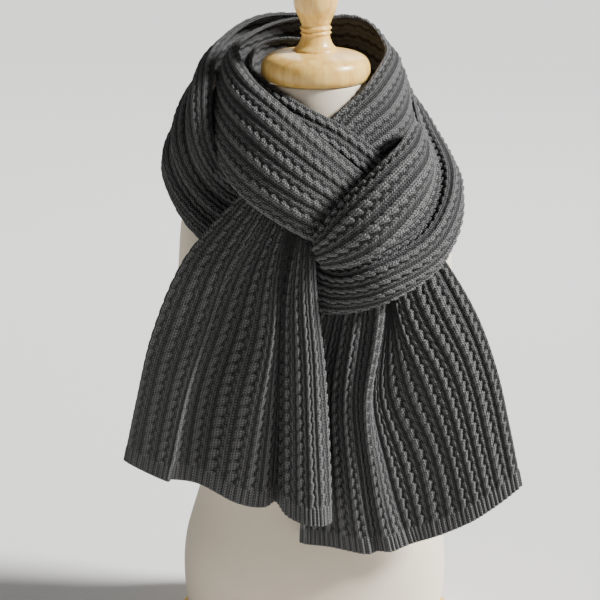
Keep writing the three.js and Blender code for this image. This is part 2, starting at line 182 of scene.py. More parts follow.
# The ends that hang in front. Each has the same first three values, then one row per section down its length,
# columns
# left edge x, y, z, right edge x, y, z, sag of the middle;
# and one row per fold line that follows the knit, columns: the rib it runs along, its share of the width at
# five levels from the top to the hem, and how far it stands forward of the straight line at those levels.
HANGING = {
    "tail_left": {
        "fullness": [1, 0.5],
        "rests_on": ["collar_left"],
        "ribs": 17,
        "sections": [
            [-52.8, -94.2, 595.4, 2.1, -107.2, 555.4, 0],
            [-93.5, -103.2, 559, -0.1, -119.6, 515.7, 0],
            [-145.7, -112, 497.8, 2.2, -122, 452.4, 0],
            [-181.5, -116, 414.4, 9.1, -126, 376.6, 2],
            [-201.1, -116, 337.4, 13.9, -126, 289.5, 4],
            [-218.1, -112, 261, 17.8, -124, 194.6, 6],
        ],
        "folds": [
            [0, [-0.01, -0.01, -0.01, 0, 0], [-4, -5, -5, -6, -7]],
            [0.3, [0.012, 0.012, 0.01, 0.01, 0.012], [-0.8, -0.8, 0, 0, 0]],
            [1.6, [0.12, 0.14, 0.15, 0.12, 0.11], [2.5, 3.5, 7, 8, 9]],
            [3.2, [0.27, 0.3, 0.3, 0.24, 0.212], [3, 5, 14, 17, 14]],
            [4, [0.33, 0.335, 0.29, 0.229, 0.222], [0, -2, -1, 1, 5]],
            [5.8, [0.46, 0.48, 0.46, 0.38, 0.355], [-3, -7, -14, -15, -9]],
            [7.8, [0.61, 0.63, 0.665, 0.598, 0.541], [0, 3, 9, 14, 15]],
            [9.4, [0.68, 0.69, 0.712, 0.7, 0.67], [1, 1, 3, 6, 8]],
            [10.7, [0.73, 0.735, 0.745, 0.741, 0.731], [0, -2, -8, -14, -19]],
            [12.3, [0.78, 0.78, 0.784, 0.788, 0.79], [1, 1, 4, 9, 16]],
            [13.5, [0.83, 0.84, 0.86, 0.866, 0.865], [2, 6, 14, 24, 29]],
            [14.9, [0.91, 0.91, 0.93, 0.93, 0.94], [3, 8, 15, 23, 28]],
            [16.2, [0.965, 0.97, 0.985, 0.99, 0.99], [1.5, 3, 7, 11, 14]],
            [17, [1, 1, 0.995, 0.99, 0.985], [0, 0, -1, -1, 2]],
        ],
    },
    "tail_right": {
        "fullness": [1, 0.8],
        "rests_on": ["drape_right"],
        "ribs": 17,
        "sections": [
            [20.2, -97.1, 490.9, 121.7, -67.1, 515.1, 0],
            [4.7, -103, 429.8, 147.4, -78, 485.5, 2],
            [-10.9, -112, 362.3, 182.2, -94, 429.6, 14],
            [-14.3, -114, 294.6, 204.7, -100, 370, 24],
            [-16.5, -114, 227.4, 221.4, -102, 298.5, 32],
            [-17.7, -110, 157.3, 237.7, -100, 225.4, 36],
        ],
        "folds": [
            [0, [0, 0, 0, 0, 0], [-2, -4, -6, -7, -8]],
            [0.5, [0.03, 0.03, 0.025, 0.025, 0.025], [-1, -2, -4, -5, -5]],
            [2.4, [0.18, 0.14, 0.11, 0.12, 0.14], [-1, -5, -9, -10, -9]],
            [4.6, [0.36, 0.295, 0.238, 0.26, 0.297], [2, 6, 9, 9, 8]],
            [5.5, [0.45, 0.365, 0.29, 0.314, 0.35], [1, 1, 1, 1, 2]],
            [6.5, [0.53, 0.46, 0.345, 0.362, 0.41], [3, 12, 16, 12, 9]],
            [7.4, [0.55, 0.478, 0.36, 0.392, 0.455], [0, 2, 2, 4, 4]],
            [8.2, [0.57, 0.492, 0.385, 0.445, 0.515], [-1, -4, -6, -2, -1]],
            [10, [0.6, 0.525, 0.462, 0.565, 0.604], [-3, -6, -7, -1, 1]],
            [11, [0.63, 0.545, 0.55, 0.645, 0.676], [-3, -5, -3, 2, 3]],
            [12, [0.66, 0.57, 0.635, 0.712, 0.742], [-2, -3, 1, 4, 5]],
            [13, [0.71, 0.625, 0.72, 0.77, 0.8], [0, 0, 4, 6, 6]],
            [15, [0.85, 0.815, 0.863, 0.885, 0.9], [2, 4, 5, 4, 3]],
            [16.5, [0.97, 0.97, 0.97, 0.98, 0.98], [-2.2, -1.5, 0, 0, -1]],
            [17, [1, 1, 1, 1, 1], [-5, -5, -4, -4, -5]],
        ],
    },
}

# Dress form: one row per level, columns z, half width, front y, back y, squareness of the section.
FORM = [
    [16.3, 150, -86, 104, 2.3],
    [60, 158, -90, 110, 2.3],
    [120, 156, -88, 108, 2.3],
    [210, 134, -76, 92, 2.3],
    [290, 144, -84, 94, 2.3],
    [370, 156, -93, 96, 2.3],
    [430, 160, -92, 94, 2.3],
    [480, 158, -82, 90, 2.4],
    [520, 154, -72, 86, 2.5],
    [546, 144, -65, 80, 2.5],
    [572, 122, -61, 74, 2.4],
    [592, 100, -59, 69, 2.2],
    [610, 82, -58, 65, 2.1],
    [630, 69, -58, 62, 2],
    [652, 61, -58, 59, 2],
    [680, 57, -57, 57, 2],
]

# Turned wooden cap and finial: radius and z, from the neck seam up.
CAP = [
    [55, 680.3],
    [59, 681.5],
    [61.5, 686],
    [62, 693],
    [60.5, 700.5],
    [56.5, 706],
    [49, 710],
    [40, 712],
    [30, 713],
    [25.3, 713.6],
    [24, 716],
    [19.5, 721],
    [16.6, 728],
    [16, 732],
    [17.7, 734],
    [16, 736.5],
    [18, 739.5],
    [15.8, 742.5],
    [17.2, 746],
    [18.6, 750],
    [22.5, 758],
    [25, 767],
    [25, 778],
    [20, 788],
    [11, 795.5],
    [0.5, 798],
]

# Base board: its outline's half width, front y, back y and squareness, and rows of inset from it and z.
BOARD_OVAL = (168, -106, 126, 2.4)
BOARD = [[60, 0], [3, 0], [0.8, 1], [0, 3], [0, 12], [1.2, 14.6], [4, 16], [60, 16]]
ROUND = 2.0  # squareness of a circle

# Camera, at the photograph's angle.
CAMERA_TARGET = (-17.655, 0, 419.684)  # mm
CAMERA_BACK = 2.3  # metres
CAMERA_TILT = 17  # degrees that it looks down
SENSOR_WIDTH = 36  # mm
FOCAL_PIXELS, PICTURE_PIXELS = 1966, 600  # focal length and width, in the photograph's pixels

FLOOR_REACH = 30.0  # metres each way
FLOOR_Z = -0.0005  # metres, just under the board, so the two don't share a plane

# Soft studio light in metres: name, kind, place, size (the sun's in radians) and power.
LIGHTS = (
    ("key", "SUN", (1.81, -0.32, 1.88), 0.2, 10.4),
    ("fill", "AREA", (-2.2, -1.8, 1.4), 1.8, 1.0),
    ("back", "AREA", (0.4, 2.2, 2.2), 1.6, 28.0),
)
LIGHTS_AIM = (0, 0, 0.5)
ROOM_COLOUR, ROOM_STRENGTH = "#f4f4f2", 0.1


def linear(code):
    """A screen colour, written as sRGB hex, turned to the linear values that a shader takes."""
    c = np.array([int(code[i : i + 2], 16) for i in (1, 3, 5)]) / 255
    return (*np.where(c <= 0.04045, c / 12.92, ((c + 0.055) / 1.055) ** 2.4).tolist(), 1.0)


class ScarfSizes(bpy.types.PropertyGroup):
    """Real sizes of the scarf's cloth."""

    wall: bpy.props.FloatProperty(
        name="Wall", description="Plain cloth behind the ribs", default=0.003, unit="LENGTH"
    )
    rib_height: bpy.props.FloatProperty(
        name="Rib height", description="How far a rib stands out", default=0.004, unit="LENGTH"
    )
    twist: bpy.props.FloatProperty(
        name="Twist", description="Length of one crossing along a rib", default=0.0135, unit="LENGTH"
    )
    row: bpy.props.FloatProperty(
        name="Row", description="Height of one row of stitches", default=0.0034, unit="LENGTH"
    )
    hem: bpy.props.FloatProperty(
        name="Hem", description="Height of the fine ribbing at an end", default=0.022, unit="LENGTH"
    )
    grid: bpy.props.FloatProperty(
        name="Grid", description="Step of the cloth's surface along its length", default=0.00116, unit="LENGTH"
    )


class ScarfColours(bpy.types.PropertyGroup):
    """Colours of the finishes."""

    wool: bpy.props.FloatVectorProperty(
        name="Wool", description="Charcoal wool yarn", default=linear("#767676")[:3], subtype="COLOR"
    )
    # painted shade: the dark that the knit's colour is pulled to in its hollows, where ribs bunch and between
    # stitches
    wool_painted_shade: bpy.props.FloatVectorProperty(
        name="Wool, between", description="Yarn in the gaps between stitches", default=linear("#161616")[:3],
        subtype="COLOR",
    )
    # pale fibre ends, partly painted highlight: they fleck only the tops, where the painted shade is light
    wool_pale_fibre_highlight: bpy.props.FloatVectorProperty(
        name="Wool, fibre ends", description="Pale fibre ends on the stitches", default=linear("#b0b0ae")[:3],
        subtype="COLOR",
    )
    cover: bpy.props.FloatVectorProperty(
        name="Cover", description="Natural linen-coloured jersey", default=linear("#ddd0bb")[:3], subtype="COLOR"
    )
    wood: bpy.props.FloatVectorProperty(
        name="Wood", description="Honey-coloured beech", default=linear("#f2cc74")[:3], subtype="COLOR"
    )
    wood_dark: bpy.props.FloatVectorProperty(
        name="Wood, grain", description="Darker grain of the beech", default=linear("#d29a46")[:3],
        subtype="COLOR",
    )
    floor: bpy.props.FloatVectorProperty(
        name="Floor", description="Pale studio floor paper", default=linear("#dfdedc")[:3], subtype="COLOR"
    )


def through(rows, t):
    """A smooth curve through rows at t from 0 to 1: the Catmull-Rom cubic of the four nearest rows.

    rows is (n, ...) and t is (m,); the result is (m, ...). The line is carried on straight past both ends.
    """
    rows = np.asarray(rows, float)
    padded = np.concatenate([[2 * rows[0] - rows[1]], rows, [2 * rows[-1] - rows[-2]]])
    x = np.clip(t, 0, 1) * (len(rows) - 1)
    i = np.minimum(x.astype(int), len(rows) - 2)
    f = (x - i).reshape(-1, *[1] * (rows.ndim - 1))
    a, b, c, d = (padded[i + k] for k in range(4))
    return 0.5 * (
        2 * b + (c - a) * f + (2 * a - 5 * b + 4 * c - d) * f**2 + (3 * b - a - 3 * c + d) * f**3
    )


def unit(v):
    """Vectors divided by their length."""
    return v / np.maximum(np.linalg.norm(v, axis=-1, keepdims=True), 1e-9)


def evenly(lines, count):
    """Each line of points (rows, m, k) at count places with even steps along it.

    The length so far is a share from 0 to 1, and each row's share is moved up by 2 so that one
    interpolation serves them all.
    """
    rows, m, _ = lines.shape
    step = np.linalg.norm(np.diff(lines[..., :3], axis=1), axis=-1)
    share = np.concatenate([np.zeros((rows, 1)), np.cumsum(step, axis=1)], axis=1)
    share /= share[:, -1:]
    lift = 2.0 * np.arange(rows)[:, None]
    want = np.linspace(0, 1, count)[None] + lift
    at = np.interp(want.ravel(), (share + lift).ravel(), np.arange(rows * m))
    i = np.minimum(at.astype(int), rows * m - 2)
    f = (at - i)[:, None]
    flat = lines.reshape(rows * m, -1)
    return (flat[i] * (1 - f) + flat[i + 1] * f).reshape(rows, count, -1)


def normals_of(grid):
    """Outer unit normals of a grid of points: across crossed with down, by central differences."""
    down = np.gradient(grid, axis=0)
    over = np.gradient(grid, axis=1)
    return unit(np.cross(over, down))


def wound_surface(stretch, steps, columns):
    """The plain surface of a wound stretch: at each station of a smooth centre line, an arc.

    A point is centre + across * half width * sin(phi) + face * crown * cos(phi), with phi from -wrap
    to wrap; face is the station's facing made square to the line. A groove sinks along the normal by
    depth * exp(-((place - its place) / width) ** 2) * sin(pi * share of the length).
    """
    stations = np.asarray(stretch["stations"], float)
    line = evenly(through(stations, np.linspace(0, 1, LINE_POINTS))[None], steps + 1)[0]
    along = np.empty((steps + 1, 3))
    along[1:-1] = line[2:, :3] - line[:-2, :3]
    along[0] = stations[1, :3] - stations[0, :3]
    along[-1] = stations[-1, :3] - stations[-2, :3]
    along = unit(along)
    az, el, wrap = np.radians(line[:, 3]), np.radians(line[:, 4]), np.radians(line[:, 7])
    raw = np.stack([np.sin(az) * np.cos(el), -np.cos(az) * np.cos(el), np.sin(el)], -1)
    face = unit(raw - along * (raw * along).sum(-1, keepdims=True))
    across = np.cross(along, face)
    phi = np.linspace(-1, 1, ARC_POINTS)[None] * wrap[:, None]
    arc = (
        line[:, None, :3]
        + across[:, None] * (line[:, 5, None] * np.sin(phi))[..., None]
        + face[:, None] * (line[:, 6, None] * np.cos(phi))[..., None]
    )
    grid = evenly(arc, columns + 1)
    if stretch["grooves"]:
        v = np.linspace(0, 1, columns + 1)[None]
        t = np.linspace(0, 1, steps + 1)[:, None]
        depth = sum(
            deep * np.exp(-(((v - start - (end - start) * t) / width) ** 2))
            for start, end, width, deep in stretch["grooves"]
        ) * np.sin(np.pi * t)
        grid = grid - normals_of(grid) * depth[..., None]
    return grid


def hanging_surface(end, steps, columns):
    """The plain surface of a hanging end: fold lines run down it, and each section curves through them
    from right to left, so that its outer side is the front.

    A fold line's point is left + (right - left) * share, moved forward by its fold and down by
    sag * 4 * share * (1 - share). It stays on its rib all the way down.
    """
    t = np.linspace(0, 1, steps + 1)
    s = through(end["sections"], t)
    rib = [row[0] for row in end["folds"]]
    share = through(np.array([row[1] for row in end["folds"]], float).T, t).T
    proud = through(np.array([row[2] for row in end["folds"]], float).T, t).T
    lines = s[None, :, :3] + (s[None, :, 3:6] - s[None, :, :3]) * share[..., None]
    lines[..., 1] -= proud
    lines[..., 2] -= s[None, :, 6] * 4 * share * (1 - share)
    at = np.interp(np.linspace(end["ribs"], 0, columns + 1), rib, np.linspace(0, 1, len(rib)))
    return through(lines, at).transpose(1, 0, 2)


def smooth(edge0, edge1, x):
    """0 before edge0, 1 after edge1, with a soft S between."""
    t = np.clip((x - edge0) / (edge1 - edge0), 0, 1)
    return t * t * (3 - 2 * t)


def rounded(away, reach):
    """How thick the cloth is at a distance away from an edge, as a share: a quarter circle over reach,
    sqrt(1 - (1 - away / reach) ** 2)."""
    return np.sqrt(np.clip(1 - (1 - np.clip(away / reach, 0, 1)) ** 2, RIM_LEAST, 1))


def leaf(q, down, start, drift, width):
    """A column of overlapping leaves across q, one for each whole number of down: each starts as a round tip
    at start, drifts across by drift a leaf, and narrows as it runs out under the next one's tip.

    Its height is rise * sqrt(1 - ((q - middle) / half width) ** 2), the larger of two neighbours' heights. The
    half width grows with the square root of the way past the tip, and rise falls by a quarter, then to 0.
    """
    tip = down - np.floor(down)
    heights = []
    for past in (tip, tip + 1):
        half = width * np.sqrt(np.clip(past / 0.22, 0, 1)) * (1 - 0.4 * smooth(0.5, 1.4, past))
        rise = smooth(-0.02, 0.14, past) * (1 - 0.25 * smooth(0.4, 1, past)) * (1 - smooth(1, 1.4, past))
        away = (q - start - drift * past) / np.maximum(half, 1e-3)
        heights.append(rise * np.sqrt(np.clip(1 - away**2, 0, 1)))
    return np.maximum(*heights)


def knit_relief(rib, along, hem_from, sizes):
    """Height of the knit above the plain cloth, as a share of a rib's height.

    rib counts ribs across, from right to left as the outer side is seen with its length running
    down, and along is millimetres down the cloth. On the left of each rib stands a ridge of overlapping
    leaves, one each twist, whose tips part from it to the right. On the right lies a lower rope of crossed
    stitches that slant down to the right. Each rib's leaves start a little higher or lower than the next one's,
    and draw closer and wider by turns. Past hem_from the ribs give way to ribbing three times as fine, of
    height 0.8 * abs(sin(3 pi rib)) ** 0.8.
    """
    q = np.ceil(rib) - rib
    turn = along / (sizes.twist / MM) + 0.13 * np.sin(1.7 * np.ceil(rib)) + 0.05 * np.sin(along / 37)
    ridge = leaf(q, turn, start=0.43, drift=-0.17, width=0.215)
    rope = 0.55 * leaf(q, turn + 0.45, start=0.7, drift=0.15, width=0.16)
    ribbed = np.maximum(ridge, rope)
    fine = np.abs(np.sin(3 * np.pi * rib)) ** 0.8 * 0.8
    at_hem = smooth(hem_from - HEM_BLEND, hem_from + HEM_BLEND, along)
    return ribbed * (1 - at_hem) + fine * at_hem


def ring_quads(count, around):
    """Four-sided faces between count rings of around points each, every ring joined to itself."""
    i = np.arange(count - 1)[:, None] * around
    j = np.arange(around)[None]
    k = (j + 1) % around
    return np.stack([i + j, i + k, i + k + around, i + j + around], -1).reshape(-1, 4)


def smooth_mesh(name, points, *faces):
    """A mesh of points in millimetres and arrays of faces, shaded smooth."""
    mesh = bpy.data.meshes.new(name)
    mesh.from_pydata((points * MM).tolist(), [], [face for group in faces for face in group.tolist()])
    mesh.validate()
    mesh.polygons.foreach_set("use_smooth", np.ones(len(mesh.polygons), bool))
    mesh.update()
    return mesh


def end_strip(columns, inner, inner_every):
    """Triangles that close a cut end between the outer columns and fewer inner ones, numbered from columns on.

    Each outer step reaches the nearest inner column, and each inner step reaches the outer column halfway
    along it. The two sides share their first and last columns, and triangles with no area there are left out.
    """
    back = np.concatenate([[columns - 1], columns + np.arange(inner), [0]])[::-1]
    o = np.arange(columns - 1)
    near = back[(o + inner_every // 2) // inner_every]
    i = np.arange(len(back) - 1)
    halfway = i * inner_every + inner_every - inner_every // 2
    strip = np.concatenate(
        [np.stack([o, near, o + 1], -1), np.stack([back[i], back[i + 1], halfway], -1)]
    )
    a, b, c = strip.T
    return strip[(a != b) & (b != c) & (a != c)]


def cloth_mesh(name, grid, stretch, sizes, hem_from):
    """The cloth wall as one closed mesh: a knit outer side, a plain inside and soft rims.

    Round the section run the outer columns, then some columns of the inside back again. Near
    an edge both sides draw together as a quarter circle, so the rim is round. Two strips close the ends.
    A wound stretch has no rim at its start, where it meets the next stretch. The inside shows leaves the
    other way round in a wound stretch, and plain ribs 0.5 - 0.5 * cos(2 pi q) in a hanging end.
    The mesh carries UVs that count columns and rows of stitches, and painted shade for its colour, taken from the
    relief.
    """
    rows, columns = grid.shape[:2]
    ribs, hanging = stretch["ribs"], "sections" in stretch
    normals = normals_of(grid)
    over = np.linalg.norm(np.diff(grid, axis=1), axis=-1)
    over = np.concatenate([np.zeros((rows, 1)), np.cumsum(over, axis=1)], axis=1)
    step = np.linalg.norm(np.diff(grid[:, columns // 2], axis=0), axis=-1)
    down = np.concatenate([[0], np.cumsum(step)])[:, None] + np.zeros((1, columns))

    # the distance between ribs, and the height that they have room for
    half = COLUMNS_PER_RIB // 2
    ahead = np.minimum(np.arange(columns) + half, columns - 1)
    behind = np.maximum(np.arange(columns) - half, 0)
    pitch = (over[:, ahead] - over[:, behind]) * COLUMNS_PER_RIB / (ahead - behind)
    full = np.linspace(*stretch["fullness"], columns)[None]
    height = np.minimum(sizes.rib_height / MM * full, MOST_OF_PITCH * pitch)
    rib = np.linspace(0, ribs, columns)[None] + np.zeros((rows, 1))
    relief = knit_relief(rib, down, down[-1, 0] - hem_from, sizes)

    to_end = down[-1, 0] - down
    if hanging:
        to_end = np.minimum(down, to_end)
    rim = rounded(np.minimum(over, over[:, -1:] - over), SIDE_RIM) * rounded(to_end, END_RIM)
    wall = sizes.wall / MM
    middle = -wall / 2
    outer = grid + normals * (middle + (relief * height - middle) * rim)[..., None]
    q = rib - np.floor(rib)
    turn = down / (sizes.twist / MM)
    if hanging:
        purl = 0.5 - 0.5 * np.cos(2 * np.pi * q)
    else:
        purl = np.maximum(
            leaf(q, turn, start=0.1, drift=0.1, width=0.2),
            leaf(q, turn + 0.5, start=0.62, drift=-0.1, width=0.17),
        )
    sunk = middle + HOLLOW * (1 - purl)
    inner_every = INNER_EVERY_HANGING if hanging else INNER_EVERY_WOUND
    inner = (grid + normals * (middle + (sunk - wall / 2 - middle) * rim)[..., None])[:, ::-inner_every]
    inner = inner[:, 1:-1]
    loop = np.concatenate([outer, inner], axis=1)
    around = loop.shape[1]
    strip = end_strip(columns, inner.shape[1], inner_every)
    far_strip = strip[:, ::-1] + (rows - 1) * around
    mesh = smooth_mesh(name, loop.reshape(-1, 3), ring_quads(rows, around), strip, far_strip)

    back = np.linspace(ribs, 0, inner.shape[1] + 2)[1:-1]
    across = np.concatenate([np.linspace(0, ribs, columns), back]) * WALES_PER_RIB + 0.5
    u = np.broadcast_to(across, (rows, around)).ravel()
    v = np.broadcast_to(down[:, :1] / (sizes.row / MM), (rows, around)).ravel()
    corner = np.empty(len(mesh.loops), np.int32)
    mesh.loops.foreach_get("vertex_index", corner)
    stitches = np.stack([u[corner], v[corner]], -1).astype(np.float32)
    mesh.uv_layers.new(name="knit").uv.foreach_set("vector", stitches.ravel())

    # painted shade: the colour follows the relief, darker in hollows, even over flat edges and dark where ribs
    # bunch; the inside takes its purl ribs
    painted_shade = (relief * full + FLAT_PAINTED_SHADE * (1 - full)) * smooth(CLOSED_PITCH, OPEN_PITCH, pitch)
    painted_shade = np.concatenate([painted_shade, purl[:, ::-inner_every][:, 1:-1]], axis=1)
    painted_shade_layer = mesh.attributes.new("relief", "FLOAT", "POINT")
    painted_shade_layer.data.foreach_set("value", painted_shade.astype(np.float32).ravel())
    return mesh


def place(name, mesh, material, node):
    """An object for the mesh at the origin, riding on the only body, in place of its CAD node."""
    piece = bpy.data.objects.new(name, mesh)
    bpy.context.scene.collection.objects.link(piece)
    piece.data.materials.append(material)
    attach(piece, "root")
    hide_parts(node)
    return piece


def ringed_piece(name, rings, material, node):
    """Makes a closed piece through rings of points (n, sides, 3), with a middle point at each end."""
    count, sides, _ = rings.shape
    points = np.concatenate([rings.reshape(-1, 3), [rings[0].mean(0)], [rings[-1].mean(0)]])
    j = np.arange(sides)
    k = (j + 1) % sides
    last = (count - 1) * sides
    low = np.stack([np.full(sides, count * sides), k, j], -1)
    high = np.stack([np.full(sides, count * sides + 1), last + j, last + k], -1)
    mesh = smooth_mesh(name, points, ring_quads(count, sides), low, high)
    place(name, mesh, material, node)


def ovals(z, half_width, front, back, power, sides):
    """Rings of superellipses: radius (|cos|^p + |sin|^p)^(-1/p) times the half widths, where p, the power, is
    the squareness: 2 gives an ellipse."""
    a = np.linspace(0, 2 * np.pi, sides, endpoint=False)[None]
    c, s = np.cos(a), np.sin(a)
    z, half_width, front, back, power = (
        np.asarray(v, float).reshape(-1, 1) for v in (z, half_width, front, back, power)
    )
    r = (np.abs(c) ** power + np.abs(s) ** power) ** (-1 / power)
    x = half_width * r * c
    y = (front + back) / 2 + (back - front) / 2 * r * s
    return np.stack([x, y, z + np.zeros_like(x)], -1)


def add(tree, kind, links=None, **settings):
    """Adds a node with its settings; links gives each of its inputs a value or the output that feeds it."""
    node = tree.nodes.new(kind)
    for name, value in settings.items():
        setattr(node, name, value)
    for socket, value in (links or {}).items():
        if isinstance(value, bpy.types.NodeSocket):
            tree.links.new(value, node.inputs[socket])
        else:
            node.inputs[socket].default_value = value
    return node


def new_finish(name):
    """A material with an empty node tree, its output and its shader."""
    material = bpy.data.materials.new(name)
    material.use_nodes = True
    tree = material.node_tree
    tree.nodes.clear()
    shader = add(tree, "ShaderNodeBsdfPrincipled")
    add(tree, "ShaderNodeOutputMaterial", {"Surface": shader.outputs["BSDF"]})
    return material, tree, shader


def wool_finish(colours):
    """Chunky wool yarn, spun thick and knitted: matt, with no gloss, with painted shade in its hollows and
    between its stitches, and with pale fibre ends that give a painted highlight on its tops."""
    material, tree, shader = new_finish(WOOL)
    uv = add(tree, "ShaderNodeUVMap", uv_map="knit").outputs["UV"]
    spot = add(tree, "ShaderNodeSeparateXYZ", {"Vector": uv}).outputs
    place_of = add(tree, "ShaderNodeTexCoord").outputs["Object"]

    # a stitch is a V one wale wide and one row high: its two legs slant down to its middle
    wale = add(tree, "ShaderNodeMath", {0: spot["X"]}, operation="FRACT").outputs[0]
    off = add(tree, "ShaderNodeMath", {0: wale, 1: 0.5}, operation="SUBTRACT").outputs[0]
    off = add(tree, "ShaderNodeMath", {0: off}, operation="ABSOLUTE").outputs[0]
    slant = add(tree, "ShaderNodeMath", {0: off, 1: -1.6, 2: spot["Y"]}, operation="MULTIPLY_ADD").outputs[0]
    slant = add(tree, "ShaderNodeMath", {0: slant, 1: math.pi}, operation="MULTIPLY").outputs[0]
    leg = add(tree, "ShaderNodeMath", {0: slant}, operation="SINE").outputs[0]
    leg = add(tree, "ShaderNodeMath", {0: leg}, operation="ABSOLUTE").outputs[0]
    leg = add(tree, "ShaderNodeMath", {0: leg, 1: 0.6}, operation="POWER").outputs[0]
    # the legs part along the stitch's middle and from the next wale
    beside = add(tree, "ShaderNodeMath", {0: off, 1: 4 * math.pi}, operation="MULTIPLY").outputs[0]
    beside = add(tree, "ShaderNodeMath", {0: beside}, operation="COSINE").outputs[0]
    beside = add(
        tree, "ShaderNodeMapRange", {"Value": beside, "From Min": 1.0, "From Max": 0.2, "To Min": 0.25}
    ).outputs[0]
    stitch = add(tree, "ShaderNodeMath", {0: leg, 1: beside}, operation="MULTIPLY").outputs[0]

    # fibres about 0.7 mm apart, and tufts of about 4 mm where the yarn is thicker
    fibre = add(
        tree, "ShaderNodeTexNoise", {"Vector": place_of, "Scale": 1400.0, "Detail": 3.0, "Roughness": 0.7}
    ).outputs["Fac"]
    tuft = add(tree, "ShaderNodeTexNoise", {"Vector": place_of, "Scale": 260.0, "Detail": 2.0}).outputs["Fac"]
    height = add(tree, "ShaderNodeMath", {0: tuft, 1: 0.5, 2: stitch}, operation="MULTIPLY_ADD").outputs[0]
    height = add(tree, "ShaderNodeMath", {0: fibre, 1: 0.6, 2: height}, operation="MULTIPLY_ADD").outputs[0]
    normal = add(tree, "ShaderNodeBump", {"Height": height, "Strength": 1.0, "Distance": 0.0024})
    tree.links.new(normal.outputs["Normal"], shader.inputs["Normal"])

    # painted shade and highlight: the knit's colour is darkened in its hollows, where ribs bunch and between its
    # stitches, and flecked with pale fibre ends on the lit tops
    relief = add(tree, "ShaderNodeAttribute", attribute_name="relief").outputs["Fac"]
    relief_shade = add(
        tree,
        "ShaderNodeMapRange",
        {"Value": relief, "From Min": 0.0, "From Max": 0.9, "To Min": 0.2},
        interpolation_type="SMOOTHSTEP",
    ).outputs[0]
    # painted shade between stitches: the colour darkens where the stitch pattern is low
    grain = add(
        tree, "ShaderNodeMapRange", {"Value": stitch, "From Min": 0.1, "From Max": 0.7, "To Min": 0.12}
    ).outputs[0]
    body = add(tree, "ShaderNodeMath", {0: relief_shade, 1: grain}, operation="MULTIPLY").outputs[0]
    deep, top, fibre_end_highlight = ((*c, 1) for c in (colours.wool_painted_shade, colours.wool, colours.wool_pale_fibre_highlight))
    yarn = add(tree, "ShaderNodeMix", {0: body, 6: deep, 7: top}, data_type="RGBA").outputs[2]
    # pale fibre flecks, kept to where the painted shade is light, so they also act as a painted highlight on the
    # tops
    pale = add(
        tree, "ShaderNodeMapRange", {"Value": fibre, "From Min": 0.48, "From Max": 0.75, "To Max": 0.8}
    ).outputs[0]
    pale = add(tree, "ShaderNodeMath", {0: pale, 1: body}, operation="MULTIPLY").outputs[0]
    flecked = add(tree, "ShaderNodeMix", {0: pale, 6: yarn, 7: fibre_end_highlight}, data_type="RGBA").outputs[2]
    tree.links.new(flecked, shader.inputs["Base Color"])
    shader.inputs["Roughness"].default_value = 0.95
    shader.inputs["Specular IOR Level"].default_value = 0.2
    shader.inputs["Sheen Weight"].default_value = 0.06
    shader.inputs["Sheen Roughness"].default_value = 0.5
    return material


def cover_finish(colours):
    """Cotton jersey stretched over the form: matt off-white with fine knit lines."""
    material, tree, shader = new_finish("Cotton jersey cover")
    place_of = add(tree, "ShaderNodeTexCoord").outputs["Object"]
    # knit lines 2 mm apart, and patches about 33 mm wide that are a little darker
    lines = add(
        tree,
        "ShaderNodeTexWave",
        {"Vector": place_of, "Scale": 160.0, "Distortion": 1.0, "Detail": 2.0},
        bands_direction="X",
    ).outputs["Fac"]
    soft = add(tree, "ShaderNodeTexNoise", {"Vector": place_of, "Scale": 30.0}).outputs["Fac"]
    light, dark = (*colours.cover, 1), (*[0.93 * c for c in colours.cover], 1)
    colour = add(tree, "ShaderNodeMix", {0: soft, 6: light, 7: dark}, data_type="RGBA").outputs[2]
    tree.links.new(colour, shader.inputs["Base Color"])
    normal = add(tree, "ShaderNodeBump", {"Height": lines, "Strength": 0.15, "Distance": 0.0004})
    tree.links.new(normal.outputs["Normal"], shader.inputs["Normal"])
    shader.inputs["Roughness"].default_value = 0.85
    shader.inputs["Sheen Weight"].default_value = 0.15
    return material


def wood_finish(name, colours, along, roughness):
    """Beech, turned or planed and varnished: honey colour, satin, with fine darker grain along one axis
    (0 = x, 2 = z)."""
    material, tree, shader = new_finish(name)
    place_of = add(tree, "ShaderNodeTexCoord").outputs["Object"]
    # growth lines about 13 mm apart and 150 mm long, and flecks of about 2 mm by 50 mm
    lines, flecks = [26.0] * 3, [312.0] * 3
    lines[along], flecks[along] = 2.2, 12.0
    line_at = add(tree, "ShaderNodeMapping", {"Vector": place_of, "Scale": lines}).outputs[0]
    grain = add(
        tree, "ShaderNodeTexNoise", {"Vector": line_at, "Scale": 3.0, "Detail": 6.0, "Distortion": 0.6}
    ).outputs["Fac"]
    fleck_at = add(tree, "ShaderNodeMapping", {"Vector": place_of, "Scale": flecks}).outputs[0]
    fleck = add(tree, "ShaderNodeTexNoise", {"Vector": fleck_at, "Scale": 1.6, "Detail": 2.0}).outputs["Fac"]
    both = add(tree, "ShaderNodeMath", {0: fleck, 1: 0.5, 2: grain}, operation="MULTIPLY_ADD").outputs[0]
    share = add(tree, "ShaderNodeMapRange", {"Value": both, "From Min": 0.55, "From Max": 1.0}).outputs[0]
    light, dark = (*colours.wood, 1), (*colours.wood_dark, 1)
    colour = add(tree, "ShaderNodeMix", {0: share, 6: light, 7: dark}, data_type="RGBA").outputs[2]
    tree.links.new(colour, shader.inputs["Base Color"])
    normal = add(tree, "ShaderNodeBump", {"Height": both, "Strength": 0.08, "Distance": 0.0003})
    tree.links.new(normal.outputs["Normal"], shader.inputs["Normal"])
    shader.inputs["Roughness"].default_value = roughness
    shader.inputs["Coat Weight"].default_value = 0.25
    shader.inputs["Coat Roughness"].default_value = 0.2
    return material


